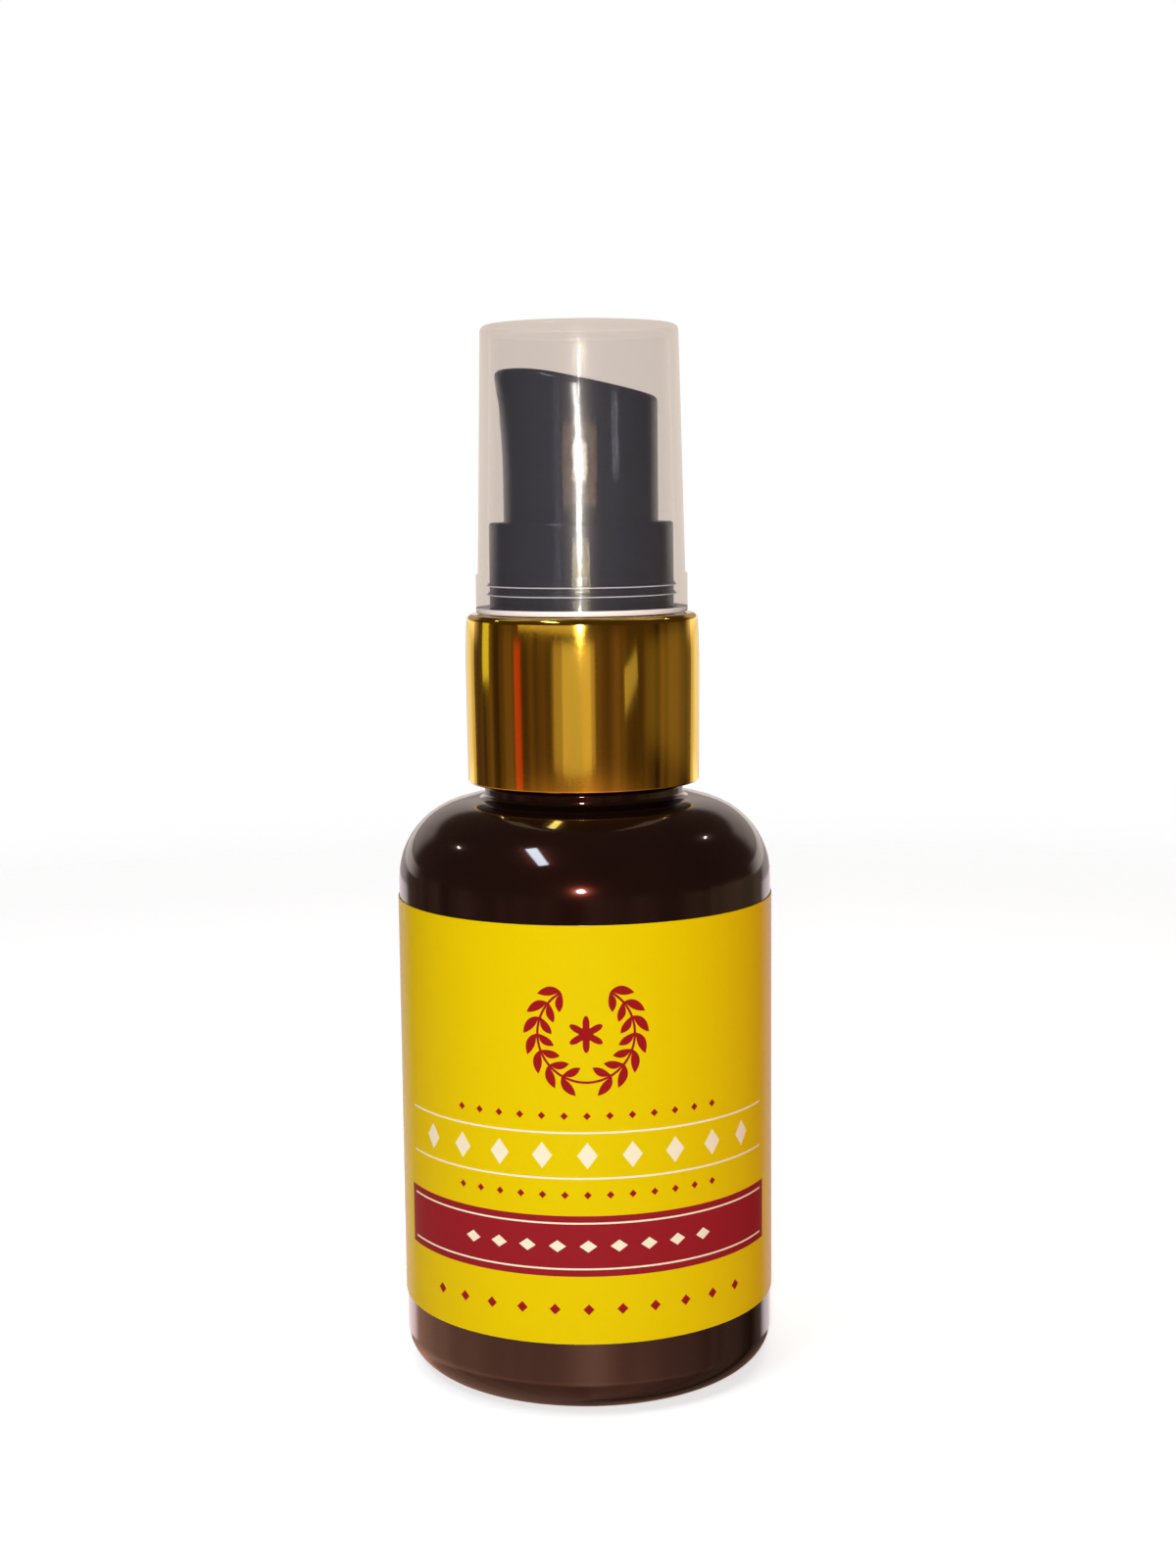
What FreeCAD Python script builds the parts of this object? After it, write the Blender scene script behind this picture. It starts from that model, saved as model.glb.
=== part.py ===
"""Pump oil bottle: an amber bottle with a wrap label, a gold collar, a black pump and a clear overcap.

Millimetres, +Z up. The origin is the middle of the ring that the bottle stands on. The label faces -Y and the
nozzle points to -X. Every height is worked out upwards from the bottle's floor, or downwards from its rim.
"""

import FreeCAD, Part
import math
import os

Vector = FreeCAD.Vector
UP = Vector(0, 0, 1)
BEAK_WAY = Vector(-1, 0, 0)

# Clearances
fit_gap = 0.05        # pieces pressed or snapped together
run_gap = 0.15        # pieces that turn or slide on each other
face_gap = 0.1        # flat faces of pieces that move apart
lip_gap = 0.03        # piston lip to its barrel, ball to its seat

# Roundings of moulded edges
fine_edge = 0.1
soft_edge = 0.2
inner_round = 0.4

# Bottle
bottle_diameter = 38.0
bottle_wall = 0.8
bottle_floor = 1.2
heel_radius = 3.6
body_height = 50.5          # straight wall, up to where the shoulder starts
shoulder_shelf = 0.9        # level stretch between the shoulder's curve and the neck
neck_ring_step = 1.4        # how far the neck ring stands out past the finish
neck_ring_height = 1.5
finish_diameter = 17.4      # neck finish without its thread
finish_height = 14.2
neck_wall = 1.6
thread_depth = 1.0
push_up = 2.0
standing_ring_width = 2.9

# Label
label_heel_gap = 3.9        # bare wall between the heel and the label
label_shoulder_gap = 1.8    # bare wall between the label and the shoulder
label_film = 0.1
label_adhesive = 0.02
label_gap_angle = 40.0      # bare strip at the back, in degrees

# Screw closure and its metal shell
closure_wall = 1.5
closure_top_wall = 0.95
closure_foot_gap = 0.45     # closure's lower edge above the neck ring
shell_wall = 0.35
shell_foot = 0.2            # shell's lower edge below the closure's
shell_flare = 0.1           # how much wider the shell is at its top, on the radius
shell_edge_radius = 0.6

# Seal and pump housing
gasket_thickness = 0.8
gasket_play = 0.5           # gasket to the housing's neck, on the radius
flange_inset = 0.1          # flange's edge inside the bottle's rim
flange_thickness = 0.8
neck_play = 0.85            # housing to the bottle's neck, on the radius
head_wall = 0.65
barrel_wall = 1.0
vent_bore = 0.8
chamber_wall = 1.0
inlet_bore = 2.0
inlet_length = 1.5
socket_depth = 6.0

# Stem guide in the housing's mouth
guide_height = 3.15
guide_step = 1.3            # guide's wall past the barrel's bore, which it seats on
guide_flange_step = 0.5
guide_flange_thickness = 0.85
guide_recess = 0.8          # recess under the guide that stops the stem's shoulder

# Stem, poppet and piston
stroke = 4.2
stem_diameter = 3.8
stem_bore = 2.0
stem_shoulder_step = 0.7
stem_shoulder_height = 0.75
stem_port_width = 1.0
stem_port_height = 1.3
piston_slip = 0.6           # the piston's travel on the stem, which opens the ports
piston_height = 4.2
piston_lip_height = 0.4
piston_groove_depth = 0.8   # groove behind each lip
piston_waist_cut = 0.6
poppet_seat_height = 0.5    # the stem's foot above the piston's foot
poppet_rim = 1.0
poppet_boss_length = 1.5
poppet_spigot_length = 3.0
poppet_blade = 1.1

# Return spring
spring_height = 14.0
spring_wire = 0.7
spring_play = 0.65          # spring to the barrel, on the radius
spring_turns = 7
spring_end_gap = 0.45       # between the wires of the two end turns

# Ball valve and dip tube
ball_diameter = 3.0
ball_lift = 1.0
ball_side_gap = 0.4
ball_nib_height = 0.5
ball_nib_reach = 0.15       # how far a nib reaches over the ball
ball_nib_angle = 50.0
ball_nib_count = 3
dip_tube_diameter = 3.4
dip_tube_bore = 2.2
dip_tube_floor_gap = 1.5
dip_tube_cut_angle = 40.0

# Chaplet, the ring that the actuator slides in
chaplet_wall = 1.25
chaplet_height = 9.45
chaplet_floor = 1.05
chaplet_hole_play = 0.7     # hole in the floor, round the stem
chaplet_skirt_wall = 0.75
chaplet_edge_radius = 0.35
grip_bead_radius = 0.2
grip_bead_heights = (2.3, 3.2)

# Actuator
actuator_diameter = 15.6
actuator_height = 18.9
actuator_wall = 1.0
actuator_play = 0.25        # actuator to the chaplet's bore, on the radius
actuator_stop_gap = 0.4     # left under the skirt at the end of the stroke
flare_height = 8.0          # skirt's lower edge to where the beak starts to lean out
beak_reach = 0.85           # how far the beak's tip leans out past the skirt
crest_length = 2.9          # level stretch of the top, behind the axis of the tip
top_slope = 12.2            # degrees, falling away from the beak
crest_radius = 25.0
top_edge_radius = 0.7
top_wall = 1.3
dish_radius = 24.0
dish_depth = 0.45
dish_offset = 1.6
socket_wall = 1.3
socket_lift = 0.9           # socket's mouth above the skirt's lower edge
stem_socket_depth = 8.5
channel_bore = 1.6
channel_drop = 3.7          # channel's axis below the crest
channel_wall = 1.0
orifice_bore = 1.2
orifice_recess_diameter = 2.6
orifice_recess_depth = 0.5

# Overcap
overcap_height = 28.5
overcap_wall = 0.95
overcap_draft = 1.35        # degrees
overcap_band_height = 3.9
overcap_band_step = 0.12
overcap_edge_radius = 1.0
overcap_snap_gap = 0.12

# Radii that several pieces share
bottle_r = bottle_diameter / 2
finish_r = finish_diameter / 2
neck_ring_r = finish_r + neck_ring_step
shoulder_radius = bottle_r - neck_ring_r - shoulder_shelf
neck_r = finish_r - neck_wall
plug_r = neck_r - neck_play
flange_r = finish_r - flange_inset
guide_r = plug_r - barrel_wall - fit_gap
guide_flange_r = guide_r + guide_flange_step
barrel_r = guide_r - guide_step
closure_inner_r = finish_r + thread_depth + run_gap
closure_outer_r = closure_inner_r + closure_wall
shell_foot_r = closure_outer_r + fit_gap + shell_wall
head_r = guide_flange_r + fit_gap + head_wall
chaplet_skirt_r = head_r + fit_gap + chaplet_skirt_wall
stem_r = stem_diameter / 2
stem_shoulder_r = stem_r + stem_shoulder_step
spring_r = barrel_r - spring_play - spring_wire / 2
poppet_r = spring_r + spring_wire / 2 - fit_gap
ball_r = ball_diameter / 2
actuator_r = actuator_diameter / 2
chaplet_bore_r = actuator_r + actuator_play
chaplet_r = chaplet_bore_r + chaplet_wall
overcap_inner_r = chaplet_r + grip_bead_radius + overcap_snap_gap

# Heights, from the bottle's floor up
shoulder_top = body_height + shoulder_radius
neck_ring_top = shoulder_top + neck_ring_height
rim = neck_ring_top + finish_height
flange_under = rim + gasket_thickness
flange_top = flange_under + flange_thickness
closure_ledge = flange_top + face_gap
closure_top = closure_ledge + closure_top_wall
closure_foot = neck_ring_top + closure_foot_gap
shell_top = closure_top + fit_gap + shell_wall
shell_foot_z = closure_foot - shell_foot
chaplet_foot = closure_top + face_gap
chaplet_floor_top = chaplet_foot + chaplet_floor
chaplet_top = chaplet_foot + chaplet_height
skirt_foot = chaplet_floor_top + stroke + actuator_stop_gap
crest = skirt_foot + actuator_height
flare_foot = skirt_foot + flare_height
stem_socket_mouth = skirt_foot + socket_lift
stem_top = stem_socket_mouth + stem_socket_depth
channel_z = crest - channel_drop
overcap_foot = shell_top + face_gap
overcap_top = overcap_foot + overcap_height

# Heights inside the pump, from the closure's top down
guide_foot = closure_top - guide_height
shoulder_stop = guide_foot + guide_recess
stem_shoulder_top = shoulder_stop - face_gap
stem_shoulder_foot = stem_shoulder_top - stem_shoulder_height
piston_top = stem_shoulder_foot - piston_slip - fit_gap
piston_foot = piston_top - piston_height
stem_foot = piston_foot + poppet_seat_height
poppet_rim_top = stem_foot - (poppet_r - stem_r)
poppet_rim_foot = poppet_rim_top - poppet_rim
spring_ledge = poppet_rim_foot - spring_height
nib_foot = spring_ledge - ball_nib_height
nib_r = ball_r - ball_nib_reach
ball_raised_z = nib_foot - fit_gap - math.sqrt(ball_r ** 2 - nib_r ** 2)
ball_z = ball_raised_z - ball_lift
seat_foot = ball_z - (ball_r + lip_gap) * math.sqrt(2) + inlet_bore / 2
chamber_r = ball_r + ball_side_gap
seat_top = seat_foot + chamber_r - inlet_bore / 2
tube_stop = seat_foot - inlet_length
housing_foot = tube_stop - socket_depth
label_foot = heel_radius + label_heel_gap
label_top = body_height - label_shoulder_gap
dip_tube_foot = push_up + bottle_floor + dip_tube_floor_gap


def outline(corners):
    """Closed wire in the XZ plane through (radius, height, rounding) corners, each rounding a tangent arc."""
    points = [Vector(radius, 0, height) for radius, height, _ in corners]
    count = len(points)
    ends = []
    arcs = []
    for index, here in enumerate(points):
        rounding = corners[index][2]
        back = (points[index - 1] - here).normalize()
        ahead = (points[(index + 1) % count] - here).normalize()
        half_turn = back.getAngle(ahead) / 2
        reach = rounding / math.tan(half_turn)
        enter = here + back * reach
        leave = here + ahead * reach
        ends.append((enter, leave))
        if rounding:
            inward = (back + ahead).normalize()
            middle = here + inward * (rounding / math.sin(half_turn) - rounding)
            arcs.append(Part.Arc(enter, middle, leave).toShape())
        else:
            arcs.append(None)
    edges = []
    for index in range(count):
        if arcs[index]:
            edges.append(arcs[index])
        start = ends[index][1]
        stop = ends[(index + 1) % count][0]
        if start.distanceToPoint(stop) > 1e-6:
            edges.append(Part.LineSegment(start, stop).toShape())
    return Part.Wire(Part.__sortEdges__(edges))


def turned(corners, sweep=360):
    """Solid of revolution about the Z axis of a section given by its corners."""
    solid = Part.Face(outline(corners)).revolve(Vector(0, 0, 0), UP, sweep)
    if solid.Volume < 0:
        solid.reverse()
    return solid


def rod(radius, start, stop, axis=UP):
    """Cylinder from one point to another along an axis, both given as points."""
    return Part.makeCylinder(radius, (stop - start).Length, start, axis)


def upright(radius, low, high):
    """Cylinder on the Z axis between two heights."""
    return rod(radius, Vector(0, 0, low), Vector(0, 0, high))


def sphere(radius, height):
    """Sphere centred on the Z axis."""
    return Part.makeSphere(radius, Vector(0, 0, height))


def make_bottle():
    """Blown bottle: round shoulder, domed floor on a standing ring, and a straight neck finish."""
    neck_fillet = 0.8 * shoulder_shelf
    outside = turned([
        (0, 0, 0),
        (bottle_r, 0, heel_radius),
        (bottle_r, shoulder_top, shoulder_radius),
        (neck_ring_r, shoulder_top, neck_fillet),
        (neck_ring_r, neck_ring_top, neck_ring_height / 5),
        (finish_r, neck_ring_top, neck_ring_height / 5),
        (finish_r, rim, bottle_wall / 2),
        (0, rim, 0),
    ])
    inner_r = bottle_r - bottle_wall
    ceiling = shoulder_top - bottle_wall
    inside = turned([
        (0, bottle_floor, 0),
        (inner_r, bottle_floor, heel_radius - bottle_wall),
        (inner_r, ceiling, shoulder_radius - bottle_wall),
        (neck_r, ceiling, neck_fillet),
        (neck_r, rim + bottle_wall, 0),
        (0, rim + bottle_wall, 0),
    ])
    standing_r = bottle_r - heel_radius - standing_ring_width
    dome_r = (standing_r ** 2 + push_up ** 2) / (2 * push_up)
    dome_z = push_up - dome_r
    outside = outside.cut(sphere(dome_r, dome_z))
    inside = inside.cut(sphere(dome_r + bottle_floor, dome_z))
    return outside.cut(inside)


def make_label():
    """Film wrapped round the body, with its bare strip at the back."""
    inner = bottle_r + label_adhesive
    outer = inner + label_film
    film = turned([
        (inner, label_foot, 0),
        (outer, label_foot, 0),
        (outer, label_top, 0),
        (inner, label_top, 0),
    ], 360 - label_gap_angle)
    film.rotate(Vector(0, 0, 0), UP, 90 + label_gap_angle / 2)
    return film


def make_closure():
    """Screw cap round the neck, with a ledge that holds the pump's flange down."""
    hole_r = chaplet_skirt_r + run_gap
    return turned([
        (closure_inner_r, closure_foot, soft_edge),
        (closure_outer_r, closure_foot, soft_edge),
        (closure_outer_r + shell_flare, closure_top, shell_edge_radius),
        (hole_r, closure_top, fine_edge),
        (hole_r, closure_ledge, fine_edge),
        (closure_inner_r, closure_ledge, inner_round),
    ])


def make_collar_shell():
    """Drawn metal shell over the closure, open round the chaplet."""
    hole_r = chaplet_r + run_gap
    top_r = shell_foot_r + shell_flare
    return turned([
        (shell_foot_r - shell_wall, shell_foot_z, shell_wall / 3),
        (shell_foot_r, shell_foot_z, shell_wall / 3),
        (top_r, shell_top, shell_edge_radius),
        (hole_r, shell_top, shell_wall / 3),
        (hole_r, shell_top - shell_wall, 0),
        (top_r - shell_wall, shell_top - shell_wall, shell_edge_radius - shell_wall),
    ])


def make_gasket():
    """Flat seal between the bottle's rim and the housing's flange."""
    inner = plug_r + gasket_play
    return turned([
        (inner, rim, 0),
        (flange_r, rim, gasket_thickness / 4),
        (flange_r, flange_under, gasket_thickness / 4),
        (inner, flange_under, 0),
    ])


def make_pump_housing():
    """Barrel that hangs from the rim: piston bore, spring ledge, ball chamber and dip tube socket."""
    outer_r = barrel_r + barrel_wall
    tube_r = dip_tube_diameter / 2 + fit_gap
    foot_r = max(chamber_r, tube_r) + chamber_wall
    plug_foot = guide_foot - barrel_wall
    mouth_r = guide_flange_r + fit_gap
    well_r = guide_r + fit_gap
    guide_shelf = closure_top - guide_flange_thickness
    barrel_foot = spring_ledge - barrel_wall
    body = turned([
        (tube_r, housing_foot, soft_edge),
        (foot_r, housing_foot, soft_edge),
        (foot_r, barrel_foot, inner_round),
        (outer_r, barrel_foot, inner_round),
        (outer_r, plug_foot - (plug_r - outer_r), 0),
        (plug_r, plug_foot, 0),
        (plug_r, flange_under, 0),
        (flange_r, flange_under, fine_edge),
        (flange_r, flange_top, fine_edge),
        (head_r, flange_top, 0),
        (head_r, closure_top, fine_edge),
        (mouth_r, closure_top, 0),
        (mouth_r, guide_shelf, 0),
        (well_r, guide_shelf, 0),
        (well_r, guide_foot, 0),
        (barrel_r, guide_foot, 0),
        (barrel_r, spring_ledge, 0),
        (chamber_r, spring_ledge, 0),
        (chamber_r, seat_top, 0),
        (inlet_bore / 2, seat_foot, 0),
        (inlet_bore / 2, tube_stop, 0),
        (tube_r, tube_stop, 0),
    ])
    for index in range(ball_nib_count):
        nib = turned([
            (nib_r, nib_foot, 0),
            (chamber_r + chamber_wall / 2, nib_foot, 0),
            (chamber_r + chamber_wall / 2, spring_ledge, 0),
            (nib_r, spring_ledge, 0),
        ], ball_nib_angle)
        nib.rotate(Vector(0, 0, 0), UP, index * 360 / ball_nib_count)
        body = body.fuse(nib)
    vent_z = (piston_top + piston_foot) / 2
    vent = rod(vent_bore / 2, Vector(0, 0, vent_z), Vector(0, neck_r, vent_z), Vector(0, 1, 0))
    return body.cut(vent).removeSplitter()


def make_stem_guide():
    """Bush in the housing's mouth that guides the stem and stops its shoulder."""
    hole_r = stem_r + face_gap
    recess_r = stem_shoulder_r + run_gap
    shelf = closure_top - guide_flange_thickness
    return turned([
        (recess_r, guide_foot, 0),
        (guide_r, guide_foot, soft_edge),
        (guide_r, shelf, 0),
        (guide_flange_r, shelf, 0),
        (guide_flange_r, closure_top, fine_edge),
        (hole_r, closure_top, fine_edge),
        (hole_r, shoulder_stop, 0),
        (recess_r, shoulder_stop, 0),
    ])


def make_stem():
    """Hollow stem with its stop shoulder, and ports at its foot that the piston covers."""
    bore_r = stem_bore / 2
    tube = turned([
        (bore_r, stem_foot, 0),
        (stem_r, stem_foot, 0),
        (stem_r, stem_shoulder_foot, 0),
        (stem_shoulder_r, stem_shoulder_foot, fine_edge),
        (stem_shoulder_r, stem_shoulder_top, fine_edge),
        (stem_r, stem_shoulder_top, 0),
        (stem_r, stem_top - fit_gap, fine_edge),
        (bore_r, stem_top - fit_gap, fine_edge),
    ])
    corner = Vector(-stem_port_width / 2, -stem_diameter, stem_foot)
    ports = Part.makeBox(stem_port_width, 2 * stem_diameter, stem_port_height, corner)
    return tube.cut(ports)


def make_poppet():
    """Valve rod under the stem: a seat for the piston, a boss for the spring and a flat-sided spigot."""
    spigot_r = stem_bore / 2 - fit_gap
    boss_r = spring_r - spring_wire / 2 - run_gap
    spigot_top = stem_foot + poppet_spigot_length
    rod_solid = turned([
        (0, poppet_rim_foot - poppet_boss_length, 0),
        (boss_r, poppet_rim_foot - poppet_boss_length, inner_round),
        (boss_r, poppet_rim_foot, 0),
        (poppet_r, poppet_rim_foot, fine_edge),
        (poppet_r, poppet_rim_top, 0),
        (stem_r, stem_foot, 0),
        (spigot_r, stem_foot, 0),
        (spigot_r, spigot_top, soft_edge),
        (0, spigot_top, 0),
    ])
    for side in (-1, 1):
        near = min(side * poppet_blade / 2, side * stem_diameter)
        depth = stem_diameter - poppet_blade / 2
        corner = Vector(-stem_diameter, near, stem_foot)
        flat = Part.makeBox(2 * stem_diameter, depth, 2 * poppet_spigot_length, corner)
        rod_solid = rod_solid.cut(flat)
    return rod_solid


def make_piston():
    """Soft piston with a sealing lip at each end and a conical seat inside its foot."""
    bore_r = stem_r + fit_gap
    lip_r = barrel_r - lip_gap
    waist_r = lip_r - piston_waist_cut
    slope = piston_lip_height + piston_waist_cut
    seat_z = stem_foot + lip_gap * math.sqrt(2) - fit_gap
    seat_r = bore_r + seat_z - piston_foot
    third = (lip_r - seat_r) / 3
    hub_r = seat_r + third / 2
    groove_r = hub_r + third
    lip_inner_r = lip_r - third
    return turned([
        (bore_r, seat_z, 0),
        (seat_r, piston_foot, 0),
        (hub_r, piston_foot, 0),
        (groove_r, piston_foot + piston_groove_depth, 0),
        (lip_inner_r, piston_foot, 0),
        (lip_r, piston_foot, 0),
        (lip_r, piston_foot + piston_lip_height, 0),
        (waist_r, piston_foot + slope, 0),
        (waist_r, piston_top - slope, 0),
        (lip_r, piston_top - piston_lip_height, 0),
        (lip_r, piston_top, 0),
        (lip_inner_r, piston_top, 0),
        (groove_r, piston_top - piston_groove_depth, 0),
        (hub_r, piston_top, 0),
        (bore_r, piston_top, 0),
    ])


def biarc(start, start_way, stop, stop_way):
    """Two tangent arcs that leave start along start_way and reach stop along stop_way."""
    span = stop - start
    ways = start_way + stop_way
    square = 2 * (start_way.dot(stop_way) - 1)
    linear = -2 * span.dot(ways)
    root = math.sqrt(linear ** 2 - 4 * square * span.dot(span))
    reach = (-linear - root) / (2 * square)
    joint = (start + stop + (start_way - stop_way) * reach) * 0.5
    joint_way = (joint - start - start_way * reach).normalize()
    return [tangent_arc(start, start_way, joint), tangent_arc(joint, joint_way, stop)]


def tangent_arc(start, way, stop):
    """Arc from start to stop that leaves start along way."""
    chord = stop - start
    along = Vector(chord).normalize()
    side = (way - along * way.dot(along)).normalize()
    bulge = chord.Length / 2 * math.tan(along.getAngle(way) / 2)
    return Part.Arc(start, (start + stop) * 0.5 + side * bulge, stop).toShape()


def spring_point(turn):
    """Middle of the spring's wire after a number of turns: close end turns, open ones between."""
    end_pitch = spring_wire + spring_end_gap
    first = spring_ledge + spring_wire / 2 + lip_gap
    last = poppet_rim_foot - spring_wire / 2 - lip_gap
    open_pitch = (last - first - 2 * end_pitch) / (spring_turns - 2)
    height = first + end_pitch * min(turn, 1)
    height += open_pitch * min(max(turn - 1, 0), spring_turns - 2)
    height += end_pitch * max(turn - spring_turns + 1, 0)
    angle = 2 * math.pi * turn
    return Vector(spring_r * math.cos(angle), spring_r * math.sin(angle), height)


def spring_way(turn):
    """Direction of the spring's wire after a number of turns."""
    step = 0.02
    return (spring_point(turn + step) - spring_point(turn - step)).normalize()


def make_return_spring():
    """Steel compression spring, one unbroken wire on quarter-turn biarcs."""
    quarters = 4 * spring_turns
    edges = []
    for quarter in range(quarters):
        turn, ahead = quarter / 4, (quarter + 1) / 4
        edges += biarc(spring_point(turn), spring_way(turn), spring_point(ahead), spring_way(ahead))
    path = Part.Wire(edges)
    section = Part.Wire(Part.Circle(spring_point(0), spring_way(0), spring_wire / 2).toShape())
    return path.makePipeShell([section], True, False)


def spring_gap():
    """Least gap between neighbouring turns of the spring, measured on points of its middle line."""
    steps = 72
    points = [spring_point(index / steps) for index in range(steps * spring_turns + 1)]
    near = 2 * spring_r
    for index, point in enumerate(points):
        for other in points[index + steps // 2:]:
            near = min(near, point.distanceToPoint(other))
    return near - spring_wire


def make_check_ball():
    """Ball of the inlet valve, resting just clear of its cone."""
    return sphere(ball_r, ball_z)


def make_dip_tube():
    """Suction tube pressed into the housing, cut on the slant just above the floor."""
    outer = dip_tube_diameter / 2
    top = tube_stop - lip_gap
    tube = turned([
        (dip_tube_bore / 2, dip_tube_foot, 0),
        (outer, dip_tube_foot, 0),
        (outer, top, 0),
        (dip_tube_bore / 2, top, 0),
    ])
    size = 4 * dip_tube_diameter
    cutter = Part.makeBox(size, size, size, Vector(-size, -size / 2, dip_tube_foot - size))
    cutter.rotate(Vector(outer, 0, dip_tube_foot), Vector(0, 1, 0), dip_tube_cut_angle)
    return tube.cut(cutter)


def make_chaplet():
    """Ring on top of the collar: a well for the actuator, a skirt round the housing and two grip beads."""
    skirt_foot_z = flange_top + run_gap
    hole_r = stem_r + chaplet_hole_play
    skirt_inner_r = head_r + fit_gap
    ring = turned([
        (hole_r, chaplet_foot, 0),
        (skirt_inner_r, chaplet_foot, 0),
        (skirt_inner_r, skirt_foot_z, 0),
        (chaplet_skirt_r, skirt_foot_z, fine_edge),
        (chaplet_skirt_r, chaplet_foot, 0),
        (chaplet_r, chaplet_foot, 0),
        (chaplet_r, chaplet_top, chaplet_edge_radius),
        (chaplet_bore_r, chaplet_top, chaplet_edge_radius),
        (chaplet_bore_r, chaplet_floor_top, soft_edge),
        (hole_r, chaplet_floor_top, soft_edge),
    ])
    for height in grip_bead_heights:
        bead = Part.makeTorus(chaplet_r, grip_bead_radius, Vector(0, 0, chaplet_foot + height), UP)
        ring = ring.fuse(bead)
    return ring


def beak_section(height, inset):
    """Plan of the actuator at a height: round at the skirt, drawn out towards the beak above it."""
    rise = max(0.0, (height - flare_foot) / (crest - flare_foot))
    lean = beak_reach * rise ** 2
    centre = Vector(-lean / 2, 0, height)
    radius = actuator_r - inset
    if lean == 0:
        return Part.Wire(Part.Circle(centre, UP, radius).toShape())
    end = centre + Vector(radius + lean / 2, 0, 0)
    side = centre + Vector(0, radius, 0)
    return Part.Wire(Part.Ellipse(end, side, centre).toShape())


def actuator_body(inset, drop):
    """Skirt and flared head under the sloping top, taken in by inset and lowered by drop."""
    levels = [flare_foot + (crest - flare_foot) * share for share in (0, 0.5, 1)]
    head = Part.makeLoft([beak_section(level, inset) for level in levels], True)
    body = upright(actuator_r - inset, skirt_foot, flare_foot).fuse(head)
    return body.common(under_top(drop)).removeSplitter()


def under_top(drop):
    """Space below the actuator's top, whose level crest bends into a slope away from the beak."""
    far = 2 * actuator_diameter
    slope = math.radians(top_slope)
    top = crest - drop
    bend_x = crest_length - actuator_r
    reach = crest_radius * math.tan(slope / 2)
    level_end = Vector(bend_x - reach, 0, top)
    slope_start = Vector(bend_x + reach * math.cos(slope), 0, top - reach * math.sin(slope))
    middle = Vector(level_end.x + crest_radius * math.sin(slope / 2), 0,
                    top - crest_radius * (1 - math.cos(slope / 2)))
    slope_end = Vector(far, 0, top - (far - bend_x) * math.tan(slope))
    floor = [Vector(far, 0, skirt_foot), Vector(-far, 0, skirt_foot)]
    corners = [slope_end] + floor + [Vector(-far, 0, top), level_end]
    edges = [Part.Arc(level_end, middle, slope_start).toShape()]
    for start, stop in zip([slope_start] + corners, corners):
        edges.append(Part.LineSegment(start, stop).toShape())
    face = Part.Face(Part.Wire(edges))
    space = face.extrude(Vector(0, 2 * far, 0))
    space.translate(Vector(0, -far, 0))
    return space


def top_edges(body):
    """Curved edges round the actuator's top, where it meets the side."""
    lowest = crest - actuator_diameter * math.tan(math.radians(top_slope)) - top_edge_radius
    found = []
    for edge in body.Edges:
        if edge.BoundBox.ZMin > lowest and edge.Curve.TypeId != "Part::GeomLine":
            found.append(edge)
    return found


def finger_dish():
    """Large ball that hollows the sloping top for a fingertip."""
    slope = math.radians(top_slope)
    top_z = crest - (dish_offset - crest_length + actuator_r) * math.tan(slope)
    rise = dish_radius - dish_depth
    centre = Vector(dish_offset + rise * math.sin(slope), 0, top_z + rise * math.cos(slope))
    return Part.makeSphere(dish_radius, centre)


def actuator_inside(head):
    """Socket post for the stem, and the duct to the nozzle with the web that hangs it from the top."""
    post = upright(stem_r + fit_gap + socket_wall, stem_socket_mouth, crest)
    duct_r = channel_bore / 2 + channel_wall
    tip = Vector(-actuator_diameter, 0, channel_z)
    duct = rod(duct_r, Vector(0, 0, channel_z), tip, BEAK_WAY)
    web = Part.makeBox(actuator_diameter, 2 * duct_r, channel_drop, tip - Vector(0, duct_r, 0))
    return post.fuse(duct).fuse(web).common(head)


def flow_path():
    """Cuts for the stem's socket, the riser and channel above it, and the nozzle's orifice in its recess."""
    rise = (channel_z - flare_foot) / (crest - flare_foot)
    recess_x = -actuator_r - beak_reach * rise ** 2 + orifice_recess_depth
    centre = Vector(0, 0, channel_z)
    tip = Vector(-actuator_diameter, 0, channel_z)
    return [
        upright(stem_r + fit_gap, stem_socket_mouth - fit_gap, stem_top),
        upright(channel_bore / 2, stem_top - fit_gap, channel_z),
        rod(channel_bore / 2, centre, Vector(recess_x + channel_wall, 0, channel_z), BEAK_WAY),
        rod(orifice_bore / 2, centre, tip, BEAK_WAY),
        rod(orifice_recess_diameter / 2, Vector(recess_x, 0, channel_z), tip, BEAK_WAY),
    ]


def make_actuator():
    """Push button with its beak: a hollow shell, a socket for the stem and a channel out to the nozzle."""
    blank = actuator_body(0, 0)
    head = blank.makeFillet(top_edge_radius, top_edges(blank)).cut(finger_dish())
    shell = head.cut(actuator_body(actuator_wall, top_wall))
    shell = shell.fuse(actuator_inside(head))
    for cutter in flow_path():
        shell = shell.cut(cutter)
    return shell.removeSplitter()


def make_overcap():
    """Clear cap with a drafted wall and a thicker band round its mouth."""
    lean = math.tan(math.radians(overcap_draft))
    outer_r = overcap_inner_r + overcap_wall
    band_top = overcap_foot + overcap_band_height
    ceiling = overcap_top - overcap_wall
    return turned([
        (overcap_inner_r, overcap_foot, soft_edge),
        (outer_r + overcap_band_step, overcap_foot, soft_edge),
        (outer_r + overcap_band_step, band_top, overcap_band_step / 2),
        (outer_r - lean * overcap_band_height, band_top, 0),
        (outer_r - lean * overcap_height, overcap_top, overcap_edge_radius),
        (0, overcap_top, 0),
        (0, ceiling, 0),
        (overcap_inner_r - lean * (ceiling - overcap_foot), ceiling, overcap_edge_radius / 2),
    ])


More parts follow.
